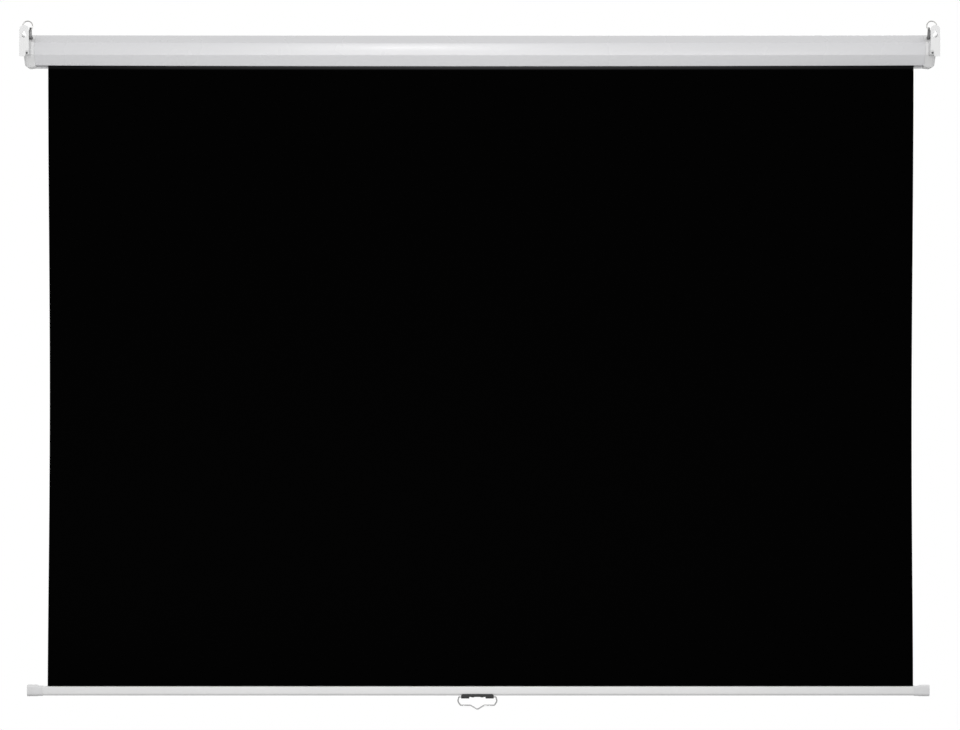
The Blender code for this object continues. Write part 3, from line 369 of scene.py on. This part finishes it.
case_along = np.concatenate([[-CASE_HALF, END_STRIP - CASE_HALF],
                             np.linspace(-EVEN_HALF, EVEN_HALF, STATIONS),
                             [CASE_HALF - END_STRIP, CASE_HALF]])
case_grid = np.empty((len(case_along), len(case_outline), 3))
case_grid[..., 0] = case_along[:, None]
case_grid[..., 1:] = case_outline
# The case sags as a parabola along X, and its foot, which is open, by the lip's sag more.
low = np.clip((WAIST - case_outline[:, 1]) / (WAIST - CASE_FOOT), 0, 1)
case_grid[..., 2] -= (SAG + LIP_SAG * low) * (1 - (case_along[:, None] / CASE_HALF) ** 2)
piece("case", grid_mesh("case", case_grid, around=True, capped=True), case_paint, "housing",
      ["housing_shell"])


def eased(node, look, width):
    """Gives a CAD node its finish, joins its loose triangles and rounds its sharp edges."""
    thing = nodes[node]
    thing.data.materials.clear()
    thing.data.materials.append(look)
    thing.data.shade_smooth()
    weld = thing.modifiers.new("weld", "WELD")
    weld.merge_threshold = 0.00001
    rounding = thing.modifiers.new("rounding", "BEVEL")
    rounding.width = width
    rounding.segments = 2
    rounding.limit_method = "ANGLE"
    rounding.angle_limit = math.radians(SHARP_DEGREES)
    rounding.use_clamp_overlap = True
    flats = thing.modifiers.new("flats", "WEIGHTED_NORMAL")
    flats.weight = 90
    flats.keep_sharp = True


# The end caps: moulded in off-white plastic, with a rounded outer end, a rear boss on which the
# wall bracket lies, and a spigot pushed into the case. Their face is finely spark-eroded.
cap_plastic = finish("cap_plastic", (0.735, 0.735, 0.74), (0.715, 0.715, 0.715), 0.46, 0.04, 2600,
                     0.00002, worn=(0.66, 0.66, 0.66), amount=0.3, specular=0.35)
for side in ("left", "right"):
    eased("end_cap_" + side, cap_plastic, 0.0004)

# The wall brackets: bent 2 mm steel, coated white, each with a keyhole for its wall screw and a
# flange that is screwed to the end of the cap.
bracket_paint = finish("bracket_powder_coat", (0.81, 0.81, 0.81), (0.785, 0.785, 0.785), 0.34, 0.04,
                       1100, 0.00002, worn=(0.66, 0.66, 0.66), amount=0.5)
for side in ("left", "right"):
    eased("wall_bracket_" + side, bracket_paint, 0.00025)

# The ring lugs: blackened steel stampings with an eye, riveted to the cap's upper facet beside the
# wall plate. Their edges are rubbed to bare steel by the ring.
black_steel = finish("blackened_steel", (0.085, 0.085, 0.087), (0.13, 0.13, 0.13), 0.50, 0.08, 1500,
                     0.00003, worn=(0.30, 0.295, 0.29), amount=0.6, specular=0.25)
for side in ("left", "right"):
    eased("ring_lug_" + side, black_steel, 0.0002)
    eased("lug_rivet_" + side, black_steel, 0.00015)

# The hanging rings: 2.2 mm steel wire bent into a ring, its ends butted and welded at the lowest
# point, nickel plated, standing in the lugs' eyes.
RING_R, RING_WIRE, RING_OUT = 0.0097, 0.0011, 0.0057
LUG_X, RING_Y, RING_Z = 0.8845, 0.022, 0.0064
RING_STEPS, WIRE_SIDES = 96, 16
SEAM_ANGLE, SEAM_HEIGHT = 0.05, 0.00012


def circles(path, first, second, radius, count):
    """Rows of points round a path: at each of its points a circle of the radius there, which is
    the first direction times the cosine and the second times the sine of an even turn."""
    turn = np.linspace(0, math.tau, count, endpoint=False)[None, :, None]
    radius = np.broadcast_to(radius, (len(path),))[:, None, None]
    return path[:, None, :] + radius * (first[:, None, :] * np.cos(turn)
                                        + second[:, None, :] * np.sin(turn))


def wire(path, radius, closed=False):
    """A round wire along a path in a plane square to Y: each circle stands on Y and on the line
    across the path, both square to its direction."""
    if closed:
        ahead = np.roll(path, -1, axis=0) - np.roll(path, 1, axis=0)
    else:
        ahead = np.gradient(path, axis=0)
    level = np.broadcast_to((0.0, 1.0, 0.0), path.shape)
    return circles(path, np.cross(unit(ahead), level), level, radius, WIRE_SIDES)


nickel = finish("nickel_plate", (0.46, 0.455, 0.445), (0.38, 0.375, 0.365), 0.24, 0.06, 3200,
                0.000006, patches=90, metallic=1.0)
ring_lift = math.sqrt(RING_R ** 2 - RING_OUT ** 2)
ring_turn = np.linspace(0, math.tau, RING_STEPS, endpoint=False)
# The weld is a bell-shaped swelling of the wire about the ring's lowest point.
seam = SEAM_HEIGHT * np.exp(-((ring_turn - 1.5 * math.pi) / SEAM_ANGLE) ** 2)
for side, sign in (("left", -1), ("right", 1)):
    ring_path = np.stack([sign * (LUG_X + RING_OUT) + RING_R * np.cos(ring_turn),
                          np.full_like(ring_turn, RING_Y),
                          RING_Z + ring_lift + RING_R * np.sin(ring_turn)], axis=1)
    ring_grid = wire(ring_path, RING_WIRE + seam, closed=True)
    piece("ring_" + side, grid_mesh("ring_" + side, ring_grid, around=True, along=True), nickel,
          "ring_" + side, ["hanging_ring_" + side])

# The screws: pan heads with a cross recess. Two bright ones hold each bracket's flange, a small
# dark one sits in each cap's rear boss, and two black ones hold the handle's holder to the bar.
CROSS_ARM, CROSS_WIDTH, CROSS_DEPTH = 0.62, 0.17, 0.5
RIM_HEIGHT, DOME_INNER = 0.55, 0.04
HEAD_SIDES, DOME_RINGS = 32, 12


def cross_head(name, seat, axis, head, height, shank, length):
    """A pan head on a shank, its other sizes as shares of the head's radius and height. The dome's
    height falls to the rim's with the fourth power of the radius, and the cross recess sinks it
    where a point lies within either arm of the cross."""
    turn = np.linspace(0, math.tau, HEAD_SIDES, endpoint=False)
    share = DOME_INNER + (1 - DOME_INNER) * np.linspace(0.0, 1.0, DOME_RINGS)[::-1, None]
    x = head * share * np.cos(turn)
    y = head * share * np.sin(turn)
    arm, width = head * CROSS_ARM, head * CROSS_WIDTH
    in_cross = (((np.abs(x) < arm) & (np.abs(y) < width))
                | ((np.abs(y) < arm) & (np.abs(x) < width)))
    up = height * (RIM_HEIGHT + (1 - RIM_HEIGHT) * (1 - share ** 4) - CROSS_DEPTH * in_cross)
    rim = [np.stack([r * np.cos(turn), r * np.sin(turn), np.full_like(turn, z)], axis=1)
           for r, z in ((shank, -length), (shank, 0.0), (head, 0.0))]
    local = np.concatenate([np.array(rim), np.stack([x, y, up], axis=2)])
    helper = np.array([0.0, 0.0, 1.0]) if abs(axis[2]) < 0.9 else np.array([1.0, 0.0, 0.0])
    first = unit(np.cross(helper, axis))
    second = np.cross(axis, first)
    points = seat + local[..., :1] * first + local[..., 1:2] * second + local[..., 2:] * axis
    return grid_mesh(name, points, around=True, capped=True)


zinc = finish("bright_zinc", (0.60, 0.60, 0.61), (0.52, 0.53, 0.55), 0.28, 0.06, 2600, 0.00001,
              patches=120, metallic=1.0)


def screw_in(node, axis, look, body, head, height, shank):
    """A cross-head screw in the place of its CAD node, its head's seat at the end that the axis
    points to, one head height inside the node's box."""
    low, high = (np.array(corner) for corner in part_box(node))
    axis = np.array(axis, float)
    reach = np.abs((high - low) @ axis)
    seat = (low + high) / 2 + axis * (reach / 2 - height)
    screw = cross_head(node, seat, axis, head, height, shank, reach - height)
    piece(node + "_cross", screw, look, body, [node], degrees=40)


for side, sign in (("left", -1), ("right", 1)):
    for number in ("1", "2"):
        screw_in("flange_screw_" + side + "_" + number, (sign, 0, 0), zinc, "housing",
                 0.0032, 0.0018, 0.0015)
    screw_in("cap_screw_" + side, (0, -1, 0), black_steel, "housing", 0.0020, 0.0014,
             0.0012)

# The roller: a drawn aluminium tube with a moulded plug pressed into each end. Its right end turns
# on a steel pin in a bush in the cap, its left end on the fixed arbor.
tube_metal = finish("drawn_aluminium", (0.66, 0.66, 0.67), (0.58, 0.58, 0.60), 0.30, 0.06, 400,
                    0.00001, patches=30, metallic=1.0, stretch=(0.05, 1, 1))
natural_plastic = finish("natural_plastic", (0.68, 0.68, 0.65), (0.62, 0.62, 0.59), 0.45, 0.05,
                         1800, 0.00002)
eased("roller_tube", tube_metal, 0.0002)
for node in ("spring_plug", "idle_plug", "idle_bush", "spring_anchor"):
    eased(node, natural_plastic, 0.0003)
eased("idle_pin", nickel, 0.0003)

# The spring motor: a ratchet disc on the fixed arbor, two pawls on pins in the plug, and a wound
# spring between the arbor's collar and the anchor that turns with the tube.
disc_brass = finish("turned_brass", (0.58, 0.43, 0.17), (0.46, 0.34, 0.14), 0.32, 0.08, 2400,
                    0.00001, patches=80, metallic=1.0, worn=(0.75, 0.62, 0.34), amount=0.7)
oiled_steel = finish("oiled_steel", (0.42, 0.41, 0.39), (0.30, 0.29, 0.27), 0.30, 0.08, 2200,
                     0.00001, patches=60, metallic=1.0, worn=(0.62, 0.61, 0.59), amount=0.6)
eased("ratchet_disc", disc_brass, 0.0001)
eased("spring_arbor", oiled_steel, 0.0002)
for side in ("upper", "lower"):
    eased("pawl_" + side, oiled_steel, 0.0001)
    eased("pawl_pin_" + side, nickel, 0.0001)
SPRING_R, SPRING_WIRE, SPRING_TURNS = 0.0100, 0.0008, 16
SPRING_STEPS, SPRING_SIDES = 24, 10
AXIS_Y, AXIS_Z = 0.06135, -0.0296
spring_low, spring_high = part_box("torsion_spring")
spring_turn = np.linspace(0, math.tau * SPRING_TURNS, SPRING_STEPS * SPRING_TURNS + 1)
spring_path = np.stack([np.linspace(spring_low[0] + SPRING_WIRE, spring_high[0] - SPRING_WIRE,
                                    len(spring_turn)),
                        AXIS_Y + SPRING_R * np.cos(spring_turn),
                        AXIS_Z + SPRING_R * np.sin(spring_turn)], axis=1)
# Each of the wire's circles stands on two lines square to it and to each other: the first is square
# to the line out from the roller's axis too, and the second lies nearly along that line.
ahead = unit(np.gradient(spring_path, axis=0))
across = unit(np.cross(ahead, spring_path * (0, 1, 1) - (0, AXIS_Y, AXIS_Z)))
spring_grid = circles(spring_path, across, np.cross(across, ahead), SPRING_WIRE, SPRING_SIDES)
piece("wound_spring", grid_mesh("wound_spring", spring_grid, around=True, capped=True), oiled_steel,
      "housing", ["torsion_spring"])

# The screen cloth: woven glass-fibre cloth coated matte white, with a black coated back and black
# borders. It leaves the back of the roller and hangs through the mouth into the bar's slot. Its
# middle is a little narrower than its ends, and its edges curl very slightly.
CLOTH_HALF, CLOTH_THICK = 0.856, 0.0005
CLOTH_TOP, CLOTH_FOOT = -0.0296, -1.2946
CLOTH_LENGTH = CLOTH_TOP - CLOTH_FOOT
CLOTH_X, CLOTH_Y = 0.0018, 0.0420
MOUTH_Z, BAR_TOP = -0.070, -1.2886
WAIST_IN, WAIST_PLACE, WAIST_POWER = 0.0033, 1.2, 1.5
LEAN, LEAN_FROM = 0.0005, 0.375
CURL, CURL_POWER = 0.0011, 14
RIPPLE, RIPPLE_WAVES, RIPPLE_SHIFT, RIPPLE_DRIFT = 0.0007, 9.4, 1.3, 4
PICTURE_HALF, PICTURE_TOP, PICTURE_FOOT = 0.800, -0.075, -1.275
THREAD = 0.0006
# Where the black cloth's top edge gets its painted reflection of the mouth's hem: full across the
# middle, fading towards the ends.
HEM_REFLECTION_FOOT, HEM_REFLECTION_TOP = -0.0705, -0.0640
HEM_REFLECTION_FULL, HEM_REFLECTION_END, HEM_REFLECTION_LEAST = 0.10, 0.80, 0.15
ACROSS, DOWN = 120, 100

# Weave: the product of a sine across and a sine down, one wave for two threads, and slow slubs.
weave_group, source, sink = group_of(
    "weave", [("Pitch", "Float"), ("Width", "Float"), ("Length", "Float")],
    [("Height", "Float"), ("Thread", "Float")])
lay = node_in(weave_group, "TexCoord").outputs
split = node_in(weave_group, "SeparateXYZ", in_0=lay["UV"]).outputs
waves = []
for label, size in (("X", "Width"), ("Y", "Length")):
    reach = maths(weave_group, "MULTIPLY", split[label], source.outputs[size])
    share = maths(weave_group, "DIVIDE", reach, source.outputs["Pitch"])
    waves.append(maths(weave_group, "SINE", maths(weave_group, "MULTIPLY", share, math.tau)))
slub = node_in(weave_group, "TexNoise", in_Vector=lay["Object"], in_Scale=260.0, in_Detail=2.0)
set_up(weave_group, sink, in_Height=maths(weave_group, "MULTIPLY", *waves),
       in_Thread=slub.outputs["Fac"])


def cloth_finish(name, colour, thread, roughness, length, bordered=False, painted_hem_reflection=False):
    """Coated cloth: a plain weave showing through the coating, with threads that vary slowly in
    tone. Bordered paints everything outside the picture black; painted_hem_reflection paints a
    grey reflection of the mouth's hem along the top edge that runs over it, most in the middle."""
    look, tree, shader = blank_look(name)
    weave = node_in(tree, "Group", node_tree=weave_group, in_Pitch=THREAD * 2,
                    in_Width=2 * CLOTH_HALF, in_Length=length).outputs
    tint = colour_mix(tree, weave["Thread"], (*colour, 1), (*thread, 1))
    bump = node_in(tree, "Bump", in_Strength=0.6, in_Distance=0.00004, in_Height=weave["Height"])
    spot = node_in(tree, "TexCoord").outputs
    axes = node_in(tree, "SeparateXYZ", in_0=spot["Object"]).outputs
    if bordered:
        across = maths(tree, "ABSOLUTE", maths(tree, "SUBTRACT", axes["X"], CLOTH_X))
        down = node_in(tree, "SeparateXYZ", in_0=spot["UV"]).outputs["Y"]
        beside = maths(tree, "GREATER_THAN", across, PICTURE_HALF)
        above = maths(tree, "LESS_THAN", down, (CLOTH_TOP - PICTURE_TOP) / CLOTH_LENGTH)
        below = maths(tree, "GREATER_THAN", down, (CLOTH_TOP - PICTURE_FOOT) / CLOTH_LENGTH)
        border = maths(tree, "MAXIMUM", maths(tree, "MAXIMUM", above, below), beside)
        tint = colour_mix(tree, border, tint, (0.006, 0.006, 0.006, 1))
    # Painted reflection: the hem's light on the black cloth's sheen, painted as a grey band at the
    # top edge.
    if painted_hem_reflection:
        near = node_in(tree, "MapRange", interpolation_type="SMOOTHSTEP", in_0=axes["Z"],
                       in_1=HEM_REFLECTION_FOOT, in_2=HEM_REFLECTION_TOP)
        inner = node_in(tree, "MapRange", in_0=maths(tree, "ABSOLUTE", axes["X"]),
                        in_1=HEM_REFLECTION_FULL, in_2=HEM_REFLECTION_END, in_3=1.0, in_4=HEM_REFLECTION_LEAST)
        wear_and_reflection = maths(tree, "MULTIPLY", near.outputs[0], inner.outputs[0])
        tint = colour_mix(tree, wear_and_reflection, tint, (0.05, 0.05, 0.052, 1))
    set_up(tree, shader, in_Base_Color=tint, in_Roughness=roughness, in_Normal=bump.outputs[0],
           in_Specular_IOR_Level=0.5 if bordered else 0.008)
    return look


BACK_TONES = (0.0003, 0.0003, 0.0003), (0.0006, 0.0006, 0.0006)
FACE_TONES = (0.80, 0.80, 0.79), (0.83, 0.83, 0.82)
# The black back carries the painted reflection of the mouth's hem along its top edge.
black_back = cloth_finish("black_cloth_back", *BACK_TONES, 0.8, CLOTH_LENGTH, painted_hem_reflection=True)
white_face = cloth_finish("white_cloth_face", *FACE_TONES, 0.75, CLOTH_LENGTH, bordered=True)

# Free runs from 0 at the mouth to 1 at the bar. The curl and the ripple follow the sine of half a
# turn of it, and the waist a power of that sine, with its narrowest place moved down. The curl also
# follows a high power of the place across, and the ripple that place and a cosine that drifts on
# the way down. The lean takes the cloth from a little right of its middle to a little left of it.
u = np.linspace(-1, 1, ACROSS + 1)[None, :]
v = np.linspace(0, 1, DOWN + 1)[:, None]
cloth_z = CLOTH_TOP - CLOTH_LENGTH * v
free = np.clip((MOUTH_Z - cloth_z) / (MOUTH_Z - BAR_TOP), 0, 1)
bow = np.sin(math.pi * free)
half = CLOTH_HALF - WAIST_IN * np.sin(math.pi * free ** WAIST_PLACE) ** WAIST_POWER
middle = CLOTH_X + LEAN * (1 - 2 * np.clip((free - LEAN_FROM) / (1 - LEAN_FROM), 0, 1))
curl = CURL * np.abs(u) ** CURL_POWER * bow
ripple = RIPPLE * bow * np.cos(RIPPLE_WAVES * u + RIPPLE_SHIFT * np.sin(RIPPLE_DRIFT * free))
cloth_points = np.empty((DOWN + 1, ACROSS + 1, 3))
cloth_points[..., 0] = middle + u * half
cloth_points[..., 1] = CLOTH_Y + curl + ripple * np.abs(u)
cloth_points[..., 2] = cloth_z
rear = cloth_points - np.array([0, CLOTH_THICK / 2, 0])
front = cloth_points + np.array([0, CLOTH_THICK / 2, 0])


def two_sided(name, rear, front, rear_look, front_look):
    """A closed thin sheet from two grids: the rear face, the front face and the strip of edge that
    joins them. The front face wears the second material, the rest the first."""
    rows, count = rear.shape[:2]
    index = np.arange(rows * count).reshape(rows, count)
    first = np.stack([index[:-1, :-1], index[:-1, 1:], index[1:, 1:], index[1:, :-1]], -1)
    second = first[..., ::-1] + rows * count
    rim = np.concatenate([index[0, :], index[1:, -1], index[-1, -2::-1], index[-2:0:-1, 0]])
    after = np.roll(rim, -1)
    edge = np.stack([after, rim, rim + rows * count, after + rows * count], -1)
    faces = np.concatenate([first.reshape(-1, 4), second.reshape(-1, 4), edge])
    points = np.concatenate([rear.reshape(-1, 3), front.reshape(-1, 3)])
    mesh = bpy.data.meshes.new(name)
    mesh.from_pydata(points.tolist(), [], faces.tolist())
    across, down = np.meshgrid(np.linspace(0, 1, count), np.linspace(0, 1, rows))
    spots = np.tile(np.stack([across.ravel(), down.ravel()], 1), (2, 1))
    mesh.uv_layers.new(name="UVMap").data.foreach_set(
        "uv", spots[faces.ravel()].astype(np.float32).ravel())
    outward(mesh)
    shade(mesh, degrees=60)
    mesh.materials.append(rear_look)
    mesh.materials.append(front_look)
    worn_by = np.zeros(len(faces), np.int32)
    worn_by[first.size // 4:first.size // 2] = 1
    mesh.polygons.foreach_set("material_index", worn_by)
    made = bpy.data.objects.new(name, mesh)
    scene.collection.objects.link(made)
    return made


cloth = two_sided("cloth", rear, front, black_back, white_face)
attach(cloth, "housing")
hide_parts("screen_cloth")
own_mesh(cloth)

# The turns of cloth left on the roller: the same cloth, wound twice round the tube in a spiral, its
# outer end level with the roller's axis where the hanging cloth begins.
TUBE_R, FIT, TURNS = 0.0175, 0.0003, 2
TURNS_LENGTH = 0.23
TURN_STEPS, TURN_GAP = 60, 0.00002
turns_black = cloth_finish("black_cloth_turns", *BACK_TONES, 0.8, TURNS_LENGTH)
turns_white = cloth_finish("white_cloth_turns", *FACE_TONES, 0.75, TURNS_LENGTH)
wide = CLOTH_X + np.linspace(-CLOTH_HALF, CLOTH_HALF, 9)[None, :]


def wound(radius, angle, middle_y, middle_z):
    """A face of wound cloth: a line along X, carried round a middle at each angle's radius."""
    grid = np.empty((len(angle), wide.shape[1], 3))
    grid[..., 0] = wide
    grid[..., 1] = middle_y + radius * np.cos(angle)
    grid[..., 2] = middle_z + radius * np.sin(angle)
    return grid


wind = np.linspace(0, math.tau * TURNS, TURN_STEPS * TURNS + 1)[:, None]
wind_r = TUBE_R + FIT + CLOTH_THICK * (0.5 + wind / math.tau * (TURNS - 1.0) / TURNS)
skin = CLOTH_THICK / 2 - TURN_GAP
cloth_roll = two_sided("cloth_roll", wound(wind_r + skin, math.pi + wind, AXIS_Y, AXIS_Z),
                       wound(wind_r - skin, math.pi + wind, AXIS_Y, AXIS_Z), turns_black,
                       turns_white)
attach(cloth_roll, "roller")
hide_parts("cloth_turns")

# The hem: the cloth's lower end, welded into a sleeve round a steel rod that keeps it in the bar.
# The rod is drawn steel, a little thinner than the sleeve, and as long as the cloth is wide.
HEM_STEPS = 40
hem_low, hem_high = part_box("cloth_hem")
HEM_Z = (hem_low[2] + hem_high[2]) / 2
HEM_R = (hem_high[2] - hem_low[2]) / 2
hem_turn = np.linspace(math.pi / 2, math.pi / 2 + math.tau, HEM_STEPS + 1)[:, None]
hem = two_sided("hem_sleeve", wound(HEM_R, hem_turn, CLOTH_Y, HEM_Z),
                wound(HEM_R - CLOTH_THICK, hem_turn, CLOTH_Y, HEM_Z), turns_black, turns_white)
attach(hem, "bar")
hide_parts("cloth_hem")
eased("hem_rod", oiled_steel, 0.0003)

# The bottom bar: a rolled steel channel, coated white, half round below, with a moulded cap pushed
# over each end.
bar_paint = finish("bar_powder_coat", (0.74, 0.74, 0.74), (0.71, 0.71, 0.71), 0.32, 0.04, 900,
                   0.00002, patches=6.0, worn=(0.58, 0.58, 0.58), amount=0.4)
bar_cap_plastic = finish("bar_cap_plastic", (0.68, 0.68, 0.685), (0.65, 0.65, 0.655), 0.42, 0.04,
                         2600, 0.00002, worn=(0.60, 0.60, 0.60), amount=0.3)
eased("bottom_bar", bar_paint, 0.0002)
for side in ("left", "right"):
    eased("bar_cap_" + side, bar_cap_plastic, 0.0006)

# The handle's holder: a black moulded channel under the bar with a foot at each end, bored for the
# handle's wire and held by two screws from below.
black_plastic = finish("black_moulding", (0.016, 0.016, 0.016), (0.024, 0.024, 0.024), 0.50, 0.08,
                       2200, 0.00003, worn=(0.07, 0.07, 0.07), amount=0.6, specular=0.3)
eased("handle_holder", black_plastic, 0.0003)
for side in ("left", "right"):
    screw_in("holder_screw_" + side, (0, 0, -1), black_plastic, "bar", 0.0036,
             0.0016, 0.0014)

# The pull handle: one bright steel wire, bent to a wide loop with a pointed middle for the finger,
# its ends turned inwards into the holder's feet.
HANDLE_WIRE, HANDLE_STEPS = 0.0013, 8
HANDLE_X, HANDLE_Y, HANDLE_Z = -0.0045, 0.0420, -1.3098
half_bends = [(0.0173, 0.0, 0.0), (0.0365, 0.0, 0.0022), (0.0389, -0.00835, 0.007),
              (0.0336, -0.0167, 0.004), (0.0133, -0.0167, 0.004)]
bends = [(-x, z, r) for x, z, r in half_bends] + [(0.0, -0.0246, 0.003)] + half_bends[::-1]
handle_line = bent([(x, z) for x, z, r in bends], [r for x, z, r in bends[1:-1]], HANDLE_STEPS)
handle_path = np.stack([HANDLE_X + handle_line[:, 0], np.full(len(handle_line), HANDLE_Y),
                        HANDLE_Z + handle_line[:, 1]], axis=1)
handle_steel = finish("bright_wire", (0.34, 0.34, 0.34), (0.28, 0.28, 0.28), 0.18, 0.05, 3000,
                      0.000004, patches=70, metallic=1.0)
handle_mesh = grid_mesh("handle_wire", wire(handle_path, HANDLE_WIRE), around=True, capped=True)
piece("handle_wire", handle_mesh, handle_steel, "handle", ["pull_handle"])
